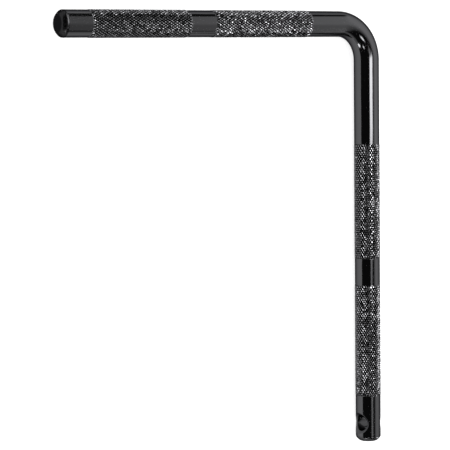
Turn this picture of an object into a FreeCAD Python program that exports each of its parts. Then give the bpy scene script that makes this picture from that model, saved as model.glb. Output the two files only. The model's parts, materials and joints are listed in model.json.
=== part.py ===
"""Bent, knurled breaker bar: one length of round bar with a right-angle bend.

The bar lies flat, as it rests on a bench: its long arm runs along +X and its
short arm along -Y, and Z = 0 is the surface that the knurled bands rest on.
The origin is the centre of the bar's footprint on that surface. All sizes are
in millimetres, and places along an arm are measured from the corner where the
two centre lines would meet.
"""

import os

import FreeCAD, Part
import Sketcher

DIMENSIONS = {
    "bar_diameter": 20.6,  # 13/16 inch bar
    "knurl_diameter": 21.1,  # over the crests of the knurl
    "long_arm": 342.0,  # from the corner to the end face
    "short_arm": 284.0,
    "bend_radius": 29.0,  # of the centre line
    "end_chamfer": 3.0,
    "hole_diameter": 13.0,
    "hole_inset": 15.0,  # from the hole's axis to the long arm's end face
    "hole_chamfer": 2.2,
    "long_inner_start": 96.5,
    "long_inner_end": 191.0,
    "long_outer_start": 212.0,
    "long_outer_end": 304.5,
    "short_inner_start": 60.5,
    "short_inner_end": 152.5,
    "short_outer_start": 173.5,
    "short_outer_end": 260.0,
    "band_runout": 1.0,  # along the bar, from the plain bar up to the crests
    "band_root": 1.0,  # how deep a band's profile is rooted in the plain bar
}
ROOT, H_AXIS, V_AXIS = (-1, 1), -1, -2  # a sketch's own origin and axes
START, END = 1, 2  # the two ends of a line or an arc in a sketch
CLOSE = 1e-4  # how near, in millimetres, an edge lies to where it should be

doc = FreeCAD.newDocument("breaker_bar")
sheet = doc.addObject("Spreadsheet::Sheet", "Dimensions")


def fill_sheet():
    """One row for each driving dimension: its name, its value and its alias."""
    for row, (name, value) in enumerate(DIMENSIONS.items(), start=1):
        sheet.set(f"A{row}", name)
        sheet.set(f"B{row}", str(value))
        sheet.setAlias(f"B{row}", name)
    doc.recompute()


def in_cells(formula):
    """The formula with each dimension's name turned into its cell's full name."""
    words = formula.split()
    return " ".join(f"Dimensions.{w}" if w in DIMENSIONS else w for w in words)


def size(formula):
    """What the sheet says that a formula comes to."""
    return float(sheet.evalExpression(in_cells(formula)))


def new_sketch(body, name, role):
    """An empty sketch on one of the body's own origin planes."""
    sketch = body.newObject("Sketcher::SketchObject", name)
    plane = next(f for f in body.Origin.OriginFeatures if f.Role == role)
    sketch.AttachmentSupport = [(plane, "")]
    sketch.MapMode = "FlatFace"
    return sketch


def rule(sketch, kind, *where):
    """A constraint with no size."""
    sketch.addConstraint(Sketcher.Constraint(kind, *where))


def driven(sketch, kind, *where, by):
    """A constraint whose size is bound to the sheet."""
    index = sketch.addConstraint(Sketcher.Constraint(kind, *where, size(by)))
    sketch.setExpression(f"Constraints[{index}]", in_cells(by))


def draw_outline(sketch, corners):
    """A closed outline of straight lines, each corner placed by two formulas."""
    points = [FreeCAD.Vector(size(x), size(y), 0) for x, y in corners]
    lines = [
        sketch.addGeometry(Part.LineSegment(start, end))
        for start, end in zip(points, points[1:] + points[:1])
    ]
    for line, following in zip(lines, lines[1:] + lines[:1]):
        rule(sketch, "Coincident", line, END, following, START)
    for line, (x, y) in zip(lines, corners):
        driven(sketch, "DistanceX", *ROOT, line, START, by=x)
        driven(sketch, "DistanceY", *ROOT, line, START, by=y)


def add_centre_line(body):
    """The bar's bent centre line: short arm, bend, long arm."""
    sketch = new_sketch(body, "centre_line", "XY_Plane")
    bend, long_arm, short_arm = size("bend_radius"), size("long_arm"), size("short_arm")
    corners = [(0, short_arm), (0, bend), (bend, 0), (long_arm, 0)]
    short_end, bend_start, bend_end, long_end = (FreeCAD.Vector(x, y, 0) for x, y in corners)
    middle = FreeCAD.Vector(bend, bend, 0) - FreeCAD.Vector(bend, bend, 0).normalize() * bend
    short = sketch.addGeometry(Part.LineSegment(short_end, bend_start))
    arc = sketch.addGeometry(Part.Arc(bend_start, middle, bend_end))
    long = sketch.addGeometry(Part.LineSegment(bend_end, long_end))
    rule(sketch, "Tangent", short, END, arc, START)
    rule(sketch, "Tangent", arc, END, long, START)
    rule(sketch, "PointOnObject", short, START, V_AXIS)
    rule(sketch, "PointOnObject", long, END, H_AXIS)
    rule(sketch, "Vertical", short)
    rule(sketch, "Horizontal", long)
    driven(sketch, "Radius", arc, by="bend_radius")
    driven(sketch, "DistanceY", *ROOT, short, START, by="short_arm")
    driven(sketch, "DistanceX", *ROOT, long, END, by="long_arm")
    return sketch


def add_bent_bar(body):
    """The plain round bar: its section swept along the centre line."""
    centre_line = add_centre_line(body)
    section = new_sketch(body, "bar_section", "XZ_Plane")
    section.setExpression("AttachmentOffset.Base.z", in_cells("- short_arm"))
    radius = size("bar_diameter / 2")
    circle = section.addGeometry(Part.Circle(FreeCAD.Vector(), FreeCAD.Vector(0, 0, 1), radius))
    rule(section, "Coincident", circle, 3, *ROOT)
    driven(section, "Diameter", circle, by="bar_diameter")
    doc.recompute()
    bar = body.newObject("PartDesign::AdditivePipe", "bent_round_bar")
    bar.Profile = section
    bar.Spine = centre_line
    doc.recompute()
    return bar


def circle_centre(edge):
    """The centre of a whole circular edge, or None for any other edge."""
    whole = isinstance(edge.Curve, Part.Circle) and edge.isClosed()
    return edge.Curve.Center if whole else None


def chamfer_edges(body, base, name, wanted, width):
    """A chamfer on every edge of the base that the test picks out."""
    edges = enumerate(base.Shape.Edges, start=1)
    names = [f"Edge{number}" for number, edge in edges if wanted(edge)]
    chamfer = body.newObject("PartDesign::Chamfer", name)
    chamfer.Base = (base, names)
    chamfer.setExpression("Size", in_cells(width))
    doc.recompute()
    assert names and chamfer.Shape.Volume < base.Shape.Volume, name
    return chamfer


def is_end_edge(edge):
    """True for the rim of either end face."""
    ends = [
        FreeCAD.Vector(size("long_arm"), 0, 0),
        FreeCAD.Vector(0, size("short_arm"), 0),
    ]
    centre = circle_centre(edge)
    return centre is not None and min(centre.distanceToPoint(e) for e in ends) < CLOSE


def band_corners(arm, place):
    """One band's half profile: (along the arm, out from its centre line)."""
    start, end = f"{arm}_{place}_start", f"{arm}_{place}_end"
    root, surface, crest = (
        "bar_diameter / 2 - band_root",
        "bar_diameter / 2",
        "knurl_diameter / 2",
    )
    return [
        (start, root),
        (end, root),
        (end, surface),
        (f"{end} - band_runout", crest),
        (f"{start} + band_runout", crest),
        (start, surface),
    ]


def add_bands(body, arm, axis):
    """The two raised bands of one arm, turned about its centre line."""
    sketch = new_sketch(body, f"{arm}_arm_band_profiles", "XY_Plane")
    for place in ("inner", "outer"):
        corners = band_corners(arm, place)
        if axis == "V_Axis":
            corners = [(out, along) for along, out in corners]
        draw_outline(sketch, corners)
    doc.recompute()
    before = body.Shape.Volume
    bands = body.newObject("PartDesign::Revolution", f"{arm}_arm_bands")
    bands.Profile = sketch
    bands.ReferenceAxis = (sketch, [axis])
    bands.Angle = 360
    doc.recompute()
    assert body.Shape.Volume > before, bands.Name
    return bands


def add_cross_hole(body):
    """The hole near the long arm's end, straight through towards the short arm's side."""
    sketch = new_sketch(body, "cross_hole_section", "XZ_Plane")
    centre = FreeCAD.Vector(size("long_arm - hole_inset"), 0, 0)
    radius = size("hole_diameter / 2")
    circle = sketch.addGeometry(Part.Circle(centre, FreeCAD.Vector(0, 0, 1), radius))
    rule(sketch, "PointOnObject", circle, 3, H_AXIS)
    driven(sketch, "DistanceX", *ROOT, circle, 3, by="long_arm - hole_inset")
    driven(sketch, "Diameter", circle, by="hole_diameter")
    doc.recompute()
    before = body.Shape.Volume
    hole = body.newObject("PartDesign::Pocket", "cross_hole")
    hole.Profile = sketch
    hole.SideType = "Symmetric"
    hole.setExpression("Length", in_cells("2 * bar_diameter"))
    doc.recompute()
    assert body.Shape.Volume < before, hole.Name
    return hole


def is_hole_edge(edge):
    """True for either mouth of the cross hole: on its wall and on the bar's surface."""
    hole_x = size("long_arm - hole_inset")
    for p in edge.discretize(9):
        from_hole_axis = ((p.x - hole_x) ** 2 + p.z**2) ** 0.5
        from_bar_axis = (p.y**2 + p.z**2) ** 0.5
        if abs(from_hole_axis - size("hole_diameter / 2")) > CLOSE:
            return False
        if abs(from_bar_axis - size("bar_diameter / 2")) > CLOSE:
            return False
    return True


def lay_flat(body):
    """Turn the body over so that its short arm points to -Y, and rest it on its bands."""
    body.Placement.Rotation = FreeCAD.Rotation(FreeCAD.Vector(1, 0, 0), 180)
    body.setExpression("Placement.Base.x", in_cells("( knurl_diameter / 2 - long_arm ) / 2"))
    body.setExpression("Placement.Base.y", in_cells("( short_arm - knurl_diameter / 2 ) / 2"))
    body.setExpression("Placement.Base.z", in_cells("knurl_diameter / 2"))
    doc.recompute()


def make_bent_bar():
    """The whole bar, drawn with both arms along its own positive axes."""
    body = doc.addObject("PartDesign::Body", "bent_bar")
    body.Label = "bent_bar"
    bar = add_bent_bar(body)
    chamfer_edges(body, bar, "end_chamfers", is_end_edge, "end_chamfer")
    add_bands(body, "long", "H_Axis")
    add_bands(body, "short", "V_Axis")
    hole = add_cross_hole(body)
    chamfer_edges(body, hole, "hole_chamfers", is_hole_edge, "hole_chamfer")
    lay_flat(body)
    return body


def check_document(parts):
    """Stop if anything failed to compute or a sub-part isn't one valid solid."""
    for item in doc.Objects:
        bad = {"Invalid", "Error"} & set(item.State)
        if bad:
            raise RuntimeError(f"{item.Name} is {', '.join(sorted(bad))}")
    for part in parts:
        shape = part.Shape
        if shape.isNull() or not shape.isValid() or len(shape.Solids) != 1:
            raise RuntimeError(f"{part.Label} isn't one valid solid")


def write_parts(parts):
    os.makedirs("parts", exist_ok=True)
    for part in parts:
        part.Shape.exportStep(f"parts/{part.Label}.step")
        box = part.Shape.BoundBox
        print(f"{part.Label}: {part.Shape.Volume / 1000:.2f} cm3, {box}")


fill_sheet()
all_parts = [make_bent_bar()]
check_document(all_parts)
write_parts(all_parts)
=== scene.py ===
"""Bent, knurled breaker bar in black chrome, lying on a pale studio floor.

The whole visible bar is one closed mesh. It is laid out ring by ring along the
bar's bent centre line, from the short arm's end face, round the bend, to the
long arm's end face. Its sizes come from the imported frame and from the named
values below. The unit is the metre.
"""

import functools
import json
import math

import bmesh
import bpy
import numpy as np
from mathutils import Matrix, Vector


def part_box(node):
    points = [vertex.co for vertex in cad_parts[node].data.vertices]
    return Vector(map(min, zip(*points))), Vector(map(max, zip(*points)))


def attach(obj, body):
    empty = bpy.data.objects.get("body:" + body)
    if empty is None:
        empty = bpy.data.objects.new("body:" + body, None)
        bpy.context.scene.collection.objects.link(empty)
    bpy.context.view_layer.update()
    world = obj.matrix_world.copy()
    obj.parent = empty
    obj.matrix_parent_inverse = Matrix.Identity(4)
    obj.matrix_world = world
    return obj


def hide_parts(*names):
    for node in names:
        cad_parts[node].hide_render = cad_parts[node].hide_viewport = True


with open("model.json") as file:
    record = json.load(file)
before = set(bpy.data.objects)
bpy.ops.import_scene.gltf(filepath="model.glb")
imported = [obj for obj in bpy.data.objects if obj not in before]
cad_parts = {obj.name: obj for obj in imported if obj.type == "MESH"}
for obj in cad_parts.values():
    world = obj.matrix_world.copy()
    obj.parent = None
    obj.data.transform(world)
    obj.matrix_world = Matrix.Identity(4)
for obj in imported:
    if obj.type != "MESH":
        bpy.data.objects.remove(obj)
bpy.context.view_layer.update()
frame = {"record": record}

MM = 0.001

# The bar, read from the frame
MOUNTS = {mount["name"]: mount for mount in frame["record"]["mounts"]}
BAR_LOW, BAR_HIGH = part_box("bent_bar")
CREST_RADIUS = (BAR_HIGH[2] - BAR_LOW[2]) / 2
BAR_RADIUS = MOUNTS["short_arm_end"]["dims"]["r_mm"] * MM
HOLE_RADIUS = MOUNTS["cross_hole"]["dims"]["r_mm"] * MM
MIDDLE_HEIGHT = (BAR_LOW[2] + BAR_HIGH[2]) / 2
CORNER = Vector((BAR_LOW[0] + CREST_RADIUS, BAR_HIGH[1] - CREST_RADIUS, MIDDLE_HEIGHT))
LONG_ARM = MOUNTS["long_arm_end_face"]["pos_m"][0] - CORNER.x
SHORT_ARM = CORNER.y - MOUNTS["short_arm_end_face"]["pos_m"][1]
HOLE_ALONG = MOUNTS["cross_hole"]["pos_m"][0] - CORNER.x

# The bar, as its drawing gives it
BEND_RADIUS = 29 * MM
END_CHAMFER = 3 * MM
HOLE_CHAMFER = 2.2 * MM
BEND_ARC = BEND_RADIUS * math.pi / 2
SHORT_RUN = SHORT_ARM - BEND_RADIUS
BAR_LENGTH = SHORT_RUN + BEND_ARC + LONG_ARM - BEND_RADIUS

# Finishes of the chrome, as numbers that can fade into one another. The colour at GROOVE is painted
# shade: it darkens the grooves for the shade that falls in them
GROOVE, PLAIN, CREST = 0.0, 0.5, 1.0

# Each band's start and end along its arm, how far its diamonds are worn, and their finish. The long
# arm's bands get the higher finish as painted light, so that their knurl comes out brighter
LONG_BANDS = [
    (96.5 * MM, 191 * MM, 0.045 * MM, 0.88),
    (212 * MM, 304.5 * MM, 0.05 * MM, 0.9),
]
SHORT_BANDS = [
    (60.5 * MM, 152.5 * MM, 0.12 * MM, 0.77),
    (173.5 * MM, 260 * MM, 0.025 * MM, 0.77),
]

# The knurl: two families of grooves that cross, and leave diamonds with flat tops
DIAMONDS_ROUND = 32
DIAMOND_LENGTH = 3.46 * MM
FLAT_SHARE = 0.4  # of a diamond's length and width
GROOVE_DEPTH = 0.5 * MM
GROOVE_RADIUS = CREST_RADIUS - GROOVE_DEPTH
GROOVE_WEAR = 0.06 * MM
FINISH_SPREAD = 0.12  # by which single diamonds fall short of their band's finish
RUNOUT = 1.7 * MM
BAND_LEAD = 0.3 * MM  # from a plain ring to a band's first row
SEED = 20  # of the random wear and finish

# The mesh of the plain lengths and the bend
RING = 4 * DIAMONDS_ROUND  # points round the bar
QUARTER = RING // 4
ANGLES = np.arange(RING) * 2 * math.pi / RING
PLAIN_STEP = 4 * MM
BEND_STEP = 0.7 * MM

# The mesh of the two ends
END_EDGE_RADIUS = 1.1 * MM  # of the soft edges of the end chamfers
END_MIDDLE = 0.5 * MM  # radius of the smallest ring on an end's face
END_LEAD = 2.3 * MM  # of plain bar that is laid with each end

# The mesh round the cross hole
HOLE_EDGE_RADIUS = 0.3 * MM  # of the soft edges of the hole's chamfer
HOLE_REACH = 9.5 * MM  # half the length of bar that is laid out round the hole
HOLE_SIDE_STEPS = 24
HOLE_LAYERS = 7
HOLE_LIP = 0.6 * MM  # of the bar's surface, laid round the hole's chamfer
HOLE_WALL = 1.5 * MM  # of the hole's wall, laid with its chamfer
HOLE_WALL_LOOPS = 3  # loops of points that lie on that length of wall

# How dull the cut steel is, from 0 where it is polished like the bar to 1. The same amount darkens
# its colour with painted shade, on the end faces, the chamfers and the hole wall
FACE_DULL_AND_SHADE = 1.0
SHORT_CHAMFER_DULL_AND_SHADE = 1.0
LONG_CHAMFER_DULL_AND_SHADE = 0.4
HOLE_DULL_AND_SHADE = 0.3
# the painted shade reaches past the chamfer's soft edge, and shades out the highlight on it
DULL_AND_SHADE_DEPTH = END_CHAMFER + 1.2 * END_EDGE_RADIUS  # how far the cut steel reaches from a face

# Black chrome. The stops go by finish. The colours at GROOVE and 0.4 are painted shade in the
# grooves; the crest stop is the lighter tone of the worn crests
CHROME_TONES_AND_GROOVE_SHADE = [(GROOVE, 0.002), (0.4, 0.004), (PLAIN, 0.065), (0.54, 0.065), (CREST, 0.36)]
CHROME_ROUGHNESS = [(GROOVE, 0.45), (0.4, 0.3), (PLAIN, 0.1), (0.56, 0.1), (CREST, 0.14)]
# painted shade: the darkest colour of the end faces, chamfers and hole wall
PAINTED_SHADE_TONE = 0.02
CUT_ROUGHNESS = 0.3
BLUE_TINT = 1.04
GRAZING_TINT = (0.3, 0.3, 0.3, 1)
HAZE_SCALE, HAZE_DETAIL = 45.0, 3.0
HAZE = 0.08  # range of roughness between clear and hazy patches
GRAIN_SCALE = (60, 900, 900)  # per metre along, across and up the straight bar
GRAIN_DETAIL = 4.0
GRAIN_STRENGTH = 0.04
GRAIN_DEPTH = 0.4 * MM

# The floor
FLOOR_SIZE = 60.0
FLOOR_COLOUR = (0.8, 0.8, 0.8, 1)
FLOOR_ROUGHNESS = 0.9
FLOOR_GLOW = 0.7

# The light on the floor, the background, and the room that only reflections see
FLOOR_LIGHT = 1.0
BACKGROUND = 1.0
DARK_ROOM = 0.04

# The room's panels, each by two parts of the direction in which it is seen and by its
# brightness. A part is given as (its name, from, to, softness of the two edges), where
# tilt is the angle from straight up towards +Y
PANELS = [
    # a bright strip overhead, and its dim far end
    (("tilt", -0.14, 0.3, 0.035), ("x", -1.5, 0.06, 0.03), 12.0),
    (("tilt", -0.12, 0.14, 0.035), ("x", 0.06, 0.23, 0.03), 1.5),
    # three patches that the knurl's tilted facets catch, and the plain bar hardly sees
    (("x", 0.48, 0.72, 0.03), ("y", 0.69, 0.95, 0.03), 16.0),
    (("x", -0.9, -0.7, 0.03), ("y", 0.31, 0.41, 0.03), 12.0),
    (("x", -0.5, -0.08, 0.03), ("tilt", -0.1, 0.45, 0.03), 5.0),
    # a low card beyond the long arm's end
    (("x", 0.7, 2.0, 0.06), ("z", -1.0, 0.25, 0.12), 0.9),
]

# The grey sweep's area, along each part of the direction as (from, to, softness)
SWEEP_X = (-0.74, 0.76, 0.04)
SWEEP_Y = (0.42, 3.0, 0.03)
# The change of its brightness, as (from, to, brightness at from, brightness at to)
SWEEP_CHANGE_X = (0.0, 0.25, 1.0, 0.7)
SWEEP_CHANGE_Y = (0.45, 0.7, 0.5, 1.7)

# Small round lamps, each by its direction and its radius in radians
LAMPS = [
    ((0.523, 0.074, 0.849), 0.09),
    ((0.80, -0.55, 0.24), 0.12),
    ((0.55, -0.45, 0.70), 0.06),
]
LAMP_BRIGHT = 12.0
LAMP_SOFTNESS = 0.3  # of its radius

# The camera looks down on the bar from the short arm's side, and is turned on its side
CAMERA_TARGET = CORNER + Vector((0.1549, -0.1404, 0))
CAMERA_DISTANCE = 1.3806
CAMERA_AZIMUTH = math.radians(-9.27)
CAMERA_ELEVATION = math.radians(55.66)
CAMERA_ROLL = math.radians(96.95)
CAMERA_LENS, CAMERA_SENSOR = 142.58, 36.0  # in millimetres
CAMERA_FAR = 100.0


# Places along the bar


def from_short_arm(distance):
    """Place along the bar of a point this far down the short arm from the corner."""
    return SHORT_ARM - distance


def from_long_arm(distance):
    """Place along the bar of a point this far down the long arm from the corner."""
    return SHORT_RUN + BEND_ARC + distance - BEND_RADIUS


def centre_line(along):
    """The centre line's point, and its normal in the plane of the arms, into the bend."""
    if along < SHORT_RUN:
        return CORNER + Vector((0, along - SHORT_ARM, 0)), Vector((1, 0, 0))
    if along > SHORT_RUN + BEND_ARC:
        distance = along - SHORT_RUN - BEND_ARC + BEND_RADIUS
        return CORNER + Vector((distance, 0, 0)), Vector((0, -1, 0))
    turn = (along - SHORT_RUN) / BEND_RADIUS
    inward = Vector((math.cos(turn), -math.sin(turn), 0))
    hub = CORNER + Vector((BEND_RADIUS, -BEND_RADIUS, 0))
    return hub - inward * BEND_RADIUS, inward


# The bar's surface


def neighbours(count):
    """Each place in a closed loop of this many, with the next one."""
    return [(k, (k + 1) % count) for k in range(count)]


class Skin:
    """The points and faces of the bar's surface, collected while it is laid out."""

    def __init__(self):
        self.points, self.straight = [], []
        self.finish, self.dull = [], []
        self.faces, self.flat = [], []

    def add(self, along, inward, up, finish=PLAIN, dull=0.0):
        """Add a point given as if the bar were straight, and return its number.

        finish runs from GROOVE through PLAIN to CREST; towards GROOVE it darkens the colour as
        painted shade in the grooves. dull is above 0 where the steel was cut, at the ends and in
        the hole, where it also darkens the colour as painted shade, and 0 where it is polished.
        """
        centre, into_bend = centre_line(along)
        self.points.append(centre + into_bend * inward + Vector((0, 0, up)))
        self.straight.append((along, inward, up))
        self.finish.append(finish)
        self.dull.append(dull)
        return len(self.points) - 1

    def ring(self, along, radius=BAR_RADIUS, dull=0.0):
        return [
            self.add(along, radius * math.cos(angle), radius * math.sin(angle), dull=dull)
            for angle in ANGLES
        ]

    def face(self, *corners, flat=False):
        self.faces.append(corners)
        self.flat.append(flat)

    def join(self, first, second):
        """Four-sided faces between two closed loops of the same length."""
        for k, n in neighbours(len(first)):
            self.face(first[k], first[n], second[n], second[k])


def soften(corners, radius, steps=3):
    """A polyline with its inner corners rounded, and held tight on both sides of each.

    A corner may be one point or an array of them, whose last axis is the coordinates.
    """
    rounded = [corners[0]]
    for before, corner, after in zip(corners, corners[1:], corners[2:]):
        back = (before - corner) / np.linalg.norm(before - corner, axis=-1, keepdims=True)
        on = (after - corner) / np.linalg.norm(after - corner, axis=-1, keepdims=True)
        start, end = corner + back * radius, corner + on * radius
        rounded.append(start + back * radius / 2)
        for t in np.linspace(0, 1, steps + 1):
            rounded.append((1 - t) ** 2 * start + 2 * t * (1 - t) * corner + t**2 * end)
        rounded.append(end + on * radius / 2)
    return rounded + [corners[-1]]


def lay_plain(skin, last, end, step=PLAIN_STEP):
    """A plain length of bar, from the last ring to a new one at its end."""
    start = skin.straight[last[0]][0]
    count = max(1, math.ceil((end - start) / step))
    for along in np.linspace(start, end, count + 1)[1:]:
        ring = skin.ring(along)
        skin.join(last, ring)
        last = ring
    return last


class Band:
    """A knurled band between two plain rings, whose grooves fade out at both ends.

    A row is half a diamond's length along the bar, and a place round the bar is counted
    in diamonds. Grooves cross at (place, row) where place + row / 2 is whole.
    """

    def __init__(self, skin, start, end, wear, polish, random):
        self.skin, self.start, self.end = skin, start, end
        self.wear, self.polish, self.random = wear, polish, random
        self.rows = 2 * round((end - start) / DIAMOND_LENGTH)
        self.crossings = {}

    def point(self, place, row, radius, finish):
        along = self.start + (self.end - self.start) * row / self.rows
        fade = min(1, min(along - self.start, self.end - along) / RUNOUT)
        fade = max(0, fade * fade * (3 - 2 * fade))
        r = BAR_RADIUS + fade * (radius - BAR_RADIUS)
        angle = place * 2 * math.pi / DIAMONDS_ROUND
        faded = PLAIN + fade * (finish - PLAIN)
        return self.skin.add(along, r * math.cos(angle), r * math.sin(angle), faded)

    def crossing(self, place, row):
        key = (round(2 * place) % (2 * DIAMONDS_ROUND), row)
        if key not in self.crossings:
            # a groove's crossing takes the grooves' painted shade
            depth = self.random.normal(0, GROOVE_WEAR)
            self.crossings[key] = self.point(place, row, GROOVE_RADIUS + depth, GROOVE)
        return self.crossings[key]

    def crest(self, place, row, finish):
        worn = abs(self.random.normal(0, self.wear))
        return self.point(place, row, CREST_RADIUS - worn, finish)

    def diamond(self, place, row):
        """One diamond's flat top and its flanks. Those on the end rows are cut in half.

        The return is the cut's four points on an end row, and nothing elsewhere.
        """
        face = functools.partial(self.skin.face, flat=True)
        finish = self.polish - abs(self.random.normal(0, FINISH_SPREAD))
        left, right = self.crossing(place - 0.5, row), self.crossing(place + 0.5, row)
        top_left = self.crest(place - FLAT_SHARE / 2, row, finish)
        top_right = self.crest(place + FLAT_SHARE / 2, row, finish)
        tips = []
        for way in (-1, 1):
            if 0 <= row + way <= self.rows:
                far = self.crossing(place, row + way)
                tip = self.crest(place, row + way * FLAT_SHARE, finish)
                face(left, far, tip, top_left)
                face(far, right, top_right, tip)
                tips.append(tip)
        if len(tips) == 2:
            face(top_left, tips[0], top_right, tips[1])
            return []
        middle = self.crest(place, row, finish)
        face(top_left, middle, tips[0])
        face(middle, top_right, tips[0])
        return [left, top_left, middle, top_right]

    def lay(self):
        """Lay all the diamonds, and return the loops of points at the two ends."""
        ends = {0: [], self.rows: []}
        for row in range(self.rows + 1):
            for place in range(DIAMONDS_ROUND):
                corners = self.diamond(place + 0.5 * ((row + 1) % 2), row)
                ends.get(row, []).extend(corners)
        return ends[0], ends[self.rows]


def lay_band(skin, last, end, wear, polish, random):
    """A knurled band, from the last ring to a new one at its end."""
    start = skin.straight[last[0]][0]
    band = Band(skin, start + BAND_LEAD, end - BAND_LEAD, wear, polish, random)
    first, final = band.lay()
    skin.join(last, first)
    beyond = skin.ring(end)
    skin.join(final, beyond)
    return beyond


def dull_and_shade_at(depth, chamfer_dull_and_shade):
    """How dull the bar's end is, and how much painted shade darkens it, by the depth from its face:
    the face, the chamfer, the bar.
    """
    if depth <= 0:
        return FACE_DULL_AND_SHADE
    return chamfer_dull_and_shade if depth < DULL_AND_SHADE_DEPTH else 0.0


def lay_end(skin, end_face, into_bar, chamfer_dull_and_shade):
    """An end's flat face and chamfer. into_bar is 1 or -1, the way along the bar to its inside."""
    corners = [
        (0, END_MIDDLE),
        (0, BAR_RADIUS - END_CHAMFER),
        (END_CHAMFER, BAR_RADIUS),
        (END_CHAMFER + END_LEAD, BAR_RADIUS),
    ]
    profile = soften([np.array(corner) for corner in corners], END_EDGE_RADIUS)
    rings = [
        skin.ring(end_face + into_bar * depth, radius, dull=dull_and_shade_at(depth, chamfer_dull_and_shade))
        for depth, radius in profile
    ]
    for inner, outer in zip(rings, rings[1:]):
        skin.join(inner, outer)
    middle = skin.add(end_face, 0, 0, dull=FACE_DULL_AND_SHADE)
    for k, n in neighbours(RING):
        skin.face(rings[0][k], rings[0][n], middle)
    return rings[-1]


def hole_outlines(skin, last, first):
    """The rectangle round each mouth of the hole, one in each half of the bar.

    Both run the same way round: (place along the bar, angle up from its middle plane),
    and for each half the points' numbers.
    """
    start, end = (skin.straight[ring[0]][0] for ring in (last, first))
    steps = range(-QUARTER, QUARTER + 1)
    inner = np.linspace(start, end, HOLE_SIDE_STEPS + 1)[1:-1]
    above = [skin.add(s, 0, BAR_RADIUS) for s in inner]
    below = [skin.add(s, 0, -BAR_RADIUS) for s in inner]
    places = [(end, ANGLES[1] * k) for k in steps]
    places += [(s, math.pi / 2) for s in inner[::-1]]
    places += [(start, -ANGLES[1] * k) for k in steps]
    places += [(s, -math.pi / 2) for s in inner]
    near = [first[k] for k in steps] + above[::-1] + [last[-k] for k in steps] + below
    half_turn = 2 * QUARTER
    far = [first[half_turn - k] for k in steps] + above[::-1]
    far += [last[(half_turn + k) % RING] for k in steps] + below
    return np.array(places), near, far


def hole_section(places):
    """The hole's lip, chamfer and wall, as loops of (along, inward, up) for the near half."""
    middle = from_long_arm(HOLE_ALONG)
    direction = np.arctan2(BAR_RADIUS * places[:, 1], places[:, 0] - middle)
    cos, sin = np.cos(direction), np.sin(direction)

    def on_bar(reach):
        up = reach * sin
        return np.stack([middle + reach * cos, np.sqrt(BAR_RADIUS**2 - up**2), up], axis=-1)

    mouth = on_bar(HOLE_RADIUS)
    slope = np.sqrt(cos**2 + sin**2 * (BAR_RADIUS / mouth[:, 1]) ** 2)
    corners = [
        on_bar(HOLE_RADIUS + (HOLE_CHAMFER + HOLE_LIP) / slope),
        on_bar(HOLE_RADIUS + HOLE_CHAMFER / slope),
        mouth - [0, HOLE_CHAMFER, 0],
        mouth - [0, HOLE_CHAMFER + HOLE_WALL, 0],
    ]
    return soften(corners, HOLE_EDGE_RADIUS)


def lay_hole(skin, last, first):
    """The length of bar with the cross hole, between two plain rings."""
    places, near, far = hole_outlines(skin, last, first)
    section = hole_section(places)
    lip = np.stack([section[0][:, 0], np.arcsin(section[0][:, 2] / BAR_RADIUS)], axis=-1)
    # the last loops of the hole's wall are duller, and darkened with painted shade
    dull_and_shade_levels = [0.0] * (len(section) - HOLE_WALL_LOOPS) + [HOLE_DULL_AND_SHADE] * HOLE_WALL_LOOPS
    walls = []
    for outline, side in ((near, 1), (far, -1)):
        loop = outline
        for share in np.linspace(0, 1, HOLE_LAYERS + 1)[1:-1]:
            layer = (1 - share) * places + share * lip
            following = [
                skin.add(s, side * BAR_RADIUS * math.cos(a), BAR_RADIUS * math.sin(a))
                for s, a in layer
            ]
            skin.join(loop, following)
            loop = following
        for points, dull in zip(section, dull_and_shade_levels):
            following = [skin.add(s, side * inward, up, dull=dull) for s, inward, up in points]
            skin.join(loop, following)
            loop = following
        walls.append(loop)
    skin.join(*walls)


def lay_out_bar():
    """The whole surface, from the short arm's end face to the long arm's."""
    skin = Skin()
    random = np.random.default_rng(SEED)
    last = lay_end(skin, 0, 1, SHORT_CHAMFER_DULL_AND_SHADE)
    for start, end, wear, polish in reversed(SHORT_BANDS):
        last = lay_plain(skin, last, from_short_arm(end))
        last = lay_band(skin, last, from_short_arm(start), wear, polish, random)
    last = lay_plain(skin, last, SHORT_RUN)
    last = lay_plain(skin, last, SHORT_RUN + BEND_ARC, BEND_STEP)
    for start, end, wear, polish in LONG_BANDS:
        last = lay_plain(skin, last, from_long_arm(start))
        last = lay_band(skin, last, from_long_arm(end), wear, polish, random)
    last = lay_plain(skin, last, from_long_arm(HOLE_ALONG) - HOLE_REACH)
    beyond = skin.ring(from_long_arm(HOLE_ALONG) + HOLE_REACH)
    lay_hole(skin, last, beyond)
    skin.join(beyond, lay_end(skin, BAR_LENGTH, -1, LONG_CHAMFER_DULL_AND_SHADE))
    return skin


def make_bar():
    """The bar's mesh. Its material reads each point's finish, dullness and straight place; the
    first two also darken its colour as painted shade.
    """
    skin = lay_out_bar()
    mesh = bpy.data.meshes.new("knurled_bar")
    mesh.from_pydata(skin.points, [], skin.faces)
    mesh.polygons.foreach_set("use_smooth", [not flat for flat in skin.flat])
    straight = mesh.attributes.new("straight", "FLOAT_VECTOR", "POINT")
    straight.data.foreach_set("vector", np.array(skin.straight, dtype=np.float32).ravel())
    for name, values in (("finish", skin.finish), ("dull", skin.dull)):
        mesh.attributes.new(name, "FLOAT", "POINT").data.foreach_set("value", values)
    working = bmesh.new()
    working.from_mesh(mesh)
    bmesh.ops.recalc_face_normals(working, faces=working.faces)
    working.to_mesh(mesh)
    working.free()
    bar = bpy.data.objects.new("knurled_bar", mesh)
    bpy.context.scene.collection.objects.link(bar)
    return bar


# Shader nodes


def give(tree, socket, value):
    """Set a node's input to a number, a vector or colour, or another node's output."""
    if isinstance(value, bpy.types.NodeSocket):
        tree.links.new(value, socket)
    else:
        socket.default_value = value


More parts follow.
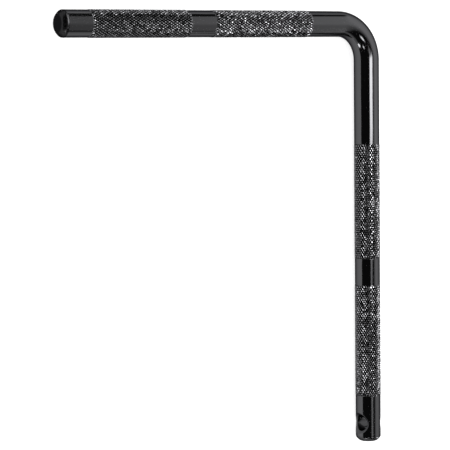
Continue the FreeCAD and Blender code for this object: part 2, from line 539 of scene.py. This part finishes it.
def node(tree, kind, settings=None, **inputs):
    """A new node with its settings, and with its inputs by name, where _ stands for a space."""
    made = tree.nodes.new(kind)
    for name, value in (settings or {}).items():
        setattr(made, name, value)
    for name, value in inputs.items():
        give(tree, made.inputs[name.replace("_", " ")], value)
    return made


def maths(tree, operation, *values):
    made = node(tree, "ShaderNodeMath", {"operation": operation})
    for socket, value in zip(made.inputs, values):
        give(tree, socket, value)
    return made.outputs["Value"]


def blend(tree, share, first, second):
    """first where share is 0, second where it is 1."""
    made = node(tree, "ShaderNodeMix", {"data_type": "FLOAT"}, Factor=share, A=first, B=second)
    return made.outputs["Result"]


def change(tree, value, start, end, low=0.0, high=1.0, kind="LINEAR"):
    """low while value is at start or before it, and high once it is at end or past it."""
    made = node(
        tree,
        "ShaderNodeMapRange",
        {"interpolation_type": kind},
        Value=value,
        From_Min=start,
        From_Max=end,
        To_Min=low,
        To_Max=high,
    )
    return made.outputs["Result"]


def ramp(tree, value, stops):
    """Numbers by value, as (value, number) stops with straight lines between them."""
    made = node(tree, "ShaderNodeFloatCurve", Value=value)
    curve = made.mapping.curves[0]
    for x, y in stops[1:-1]:
        curve.points.new(x, y)
    curve.points[0].location = stops[0]
    curve.points[-1].location = stops[-1]
    for point in curve.points:
        point.handle_type = "VECTOR"
    made.mapping.update()
    return made.outputs["Value"]


def attribute(tree, name, output="Fac"):
    return node(tree, "ShaderNodeAttribute", {"attribute_name": name}).outputs[output]


def noise(tree, place, scale, detail):
    made = node(tree, "ShaderNodeTexNoise", Vector=place, Scale=scale, Detail=detail)
    return made.outputs["Fac"]


# Materials


def new_material(name):
    material = bpy.data.materials.new(name)
    material.use_nodes = True
    tree = material.node_tree
    return material, tree, tree.nodes["Principled BSDF"]


def black_chrome():
    """Polished black chrome: a dark mirror, duller in the grooves and on cut steel, and darkened
    there with painted shade.
    """
    material, tree, shader = new_material("black_chrome")
    straight = attribute(tree, "straight", "Vector")
    finish = attribute(tree, "finish")
    dull = attribute(tree, "dull")

    # painted shade: the ramp darkens the grooves, and the blend darkens the end faces, chamfers and
    # hole wall
    shade = blend(tree, dull, ramp(tree, finish, CHROME_TONES_AND_GROOVE_SHADE), PAINTED_SHADE_TONE)
    blue = maths(tree, "MULTIPLY", shade, BLUE_TINT)
    colour = node(tree, "ShaderNodeCombineColor", Red=shade, Green=shade, Blue=blue)
    give(tree, shader.inputs["Base Color"], colour.outputs["Color"])

    patches = noise(tree, straight, HAZE_SCALE, HAZE_DETAIL)
    haze = maths(tree, "MULTIPLY_ADD", patches, HAZE, -HAZE / 2)
    rough = blend(tree, dull, ramp(tree, finish, CHROME_ROUGHNESS), CUT_ROUGHNESS)
    give(tree, shader.inputs["Roughness"], maths(tree, "ADD", rough, haze))

    stretched = node(tree, "ShaderNodeMapping", Vector=straight, Scale=GRAIN_SCALE)
    grain = noise(tree, stretched.outputs["Vector"], 1.0, GRAIN_DETAIL)
    bump = node(tree, "ShaderNodeBump", Height=grain, Strength=GRAIN_STRENGTH, Distance=GRAIN_DEPTH)
    give(tree, shader.inputs["Normal"], bump.outputs["Normal"])

    give(tree, shader.inputs["Metallic"], 1.0)
    give(tree, shader.inputs["Specular Tint"], GRAZING_TINT)
    return material


def pale_floor():
    """A matt floor with a glow of its own, so that it is nearly as pale as the background."""
    material, tree, shader = new_material("pale_floor")
    give(tree, shader.inputs["Base Color"], FLOOR_COLOUR)
    give(tree, shader.inputs["Roughness"], FLOOR_ROUGHNESS)
    give(tree, shader.inputs["Specular IOR Level"], 0.0)
    give(tree, shader.inputs["Emission Color"], (1, 1, 1, 1))
    give(tree, shader.inputs["Emission Strength"], FLOOR_GLOW)
    return material


# The studio


def make_floor():
    half = FLOOR_SIZE / 2
    corners = [(-half, -half, 0), (half, -half, 0), (half, half, 0), (-half, half, 0)]
    mesh = bpy.data.meshes.new("floor")
    mesh.from_pydata(corners, [], [(0, 1, 2, 3)])
    mesh.materials.append(pale_floor())
    floor = bpy.data.objects.new("floor", mesh)
    bpy.context.scene.collection.objects.link(floor)


def between(tree, value, start, end, soft):
    """1 where value lies between start and end, with soft edges, and 0 elsewhere."""
    rise = change(tree, value, start - soft, start + soft, kind="SMOOTHSTEP")
    fall = change(tree, value, end + soft, end - soft, kind="SMOOTHSTEP")
    return maths(tree, "MULTIPLY", rise, fall)


def sweep(tree, x, y):
    """The brightness of the grey sweep, which is 0 outside its area."""
    area = maths(tree, "MULTIPLY", between(tree, x, *SWEEP_X), between(tree, y, *SWEEP_Y))
    by_y = change(tree, y, *SWEEP_CHANGE_Y)
    by_x = change(tree, x, *SWEEP_CHANGE_X)
    return maths(tree, "MULTIPLY", area, maths(tree, "MULTIPLY", by_y, by_x))


def lamp(tree, direction, towards, radius):
    """1 inside a small round lamp with soft edges, and 0 elsewhere."""
    facing = node(tree, "ShaderNodeVectorMath", {"operation": "DOT_PRODUCT"})
    give(tree, facing.inputs[0], direction)
    give(tree, facing.inputs[1], Vector(towards).normalized())
    outside = math.cos(radius * (1 + LAMP_SOFTNESS))
    inside = math.cos(radius * (1 - LAMP_SOFTNESS))
    return change(tree, facing.outputs["Value"], outside, inside, kind="SMOOTHSTEP")


def room(tree):
    """What a reflection sees of the room: dark, with its panels, a grey sweep and lamps."""
    direction = node(tree, "ShaderNodeTexCoord").outputs["Generated"]
    x, y, z = node(tree, "ShaderNodeSeparateXYZ", Vector=direction).outputs
    parts = {"x": x, "y": y, "z": z, "tilt": maths(tree, "ARCTAN2", y, z)}
    light = maths(tree, "ADD", sweep(tree, x, y), DARK_ROOM)
    for first, second, bright in PANELS:
        sides = [between(tree, parts[name], *edges) for name, *edges in (first, second)]
        light = maths(tree, "MULTIPLY_ADD", maths(tree, "MULTIPLY", *sides), bright, light)
    for towards, radius in LAMPS:
        disc = lamp(tree, direction, towards, radius)
        light = maths(tree, "MULTIPLY_ADD", disc, LAMP_BRIGHT, light)
    return light


def make_world():
    """Even soft light on the floor, and the room in reflections only."""
    world = bpy.data.worlds.new("studio")
    bpy.context.scene.world = world
    world.use_nodes = True
    world.cycles.sampling_method = "NONE"
    tree = world.node_tree
    path = node(tree, "ShaderNodeLightPath").outputs
    camera = maths(tree, "MULTIPLY", path["Is Camera Ray"], BACKGROUND)
    diffuse = maths(tree, "MULTIPLY", path["Is Diffuse Ray"], FLOOR_LIGHT)
    glossy = maths(tree, "MULTIPLY", path["Is Glossy Ray"], room(tree))
    light = maths(tree, "ADD", maths(tree, "ADD", camera, diffuse), glossy)
    give(tree, tree.nodes["Background"].inputs["Color"], light)


def make_camera():
    level = math.cos(CAMERA_ELEVATION)
    back = Vector(
        (
            math.sin(CAMERA_AZIMUTH) * level,
            -math.cos(CAMERA_AZIMUTH) * level,
            math.sin(CAMERA_ELEVATION),
        )
    )
    facing = back.to_track_quat("Z", "Y").to_matrix() @ Matrix.Rotation(CAMERA_ROLL, 3, "Z")
    place = CAMERA_TARGET + back * CAMERA_DISTANCE
    camera = bpy.data.objects.new("camera", bpy.data.cameras.new("camera"))
    camera.data.lens = CAMERA_LENS
    camera.data.sensor_width = CAMERA_SENSOR
    camera.data.clip_end = CAMERA_FAR
    camera.matrix_world = Matrix.Translation(place) @ facing.to_4x4()
    bpy.context.scene.collection.objects.link(camera)
    bpy.context.scene.camera = camera


bar = make_bar()
bar.data.materials.append(black_chrome())
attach(bar, "root")
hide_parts("bent_bar")

make_floor()
make_world()
make_camera()
bpy.context.scene.view_settings.view_transform = "Standard"
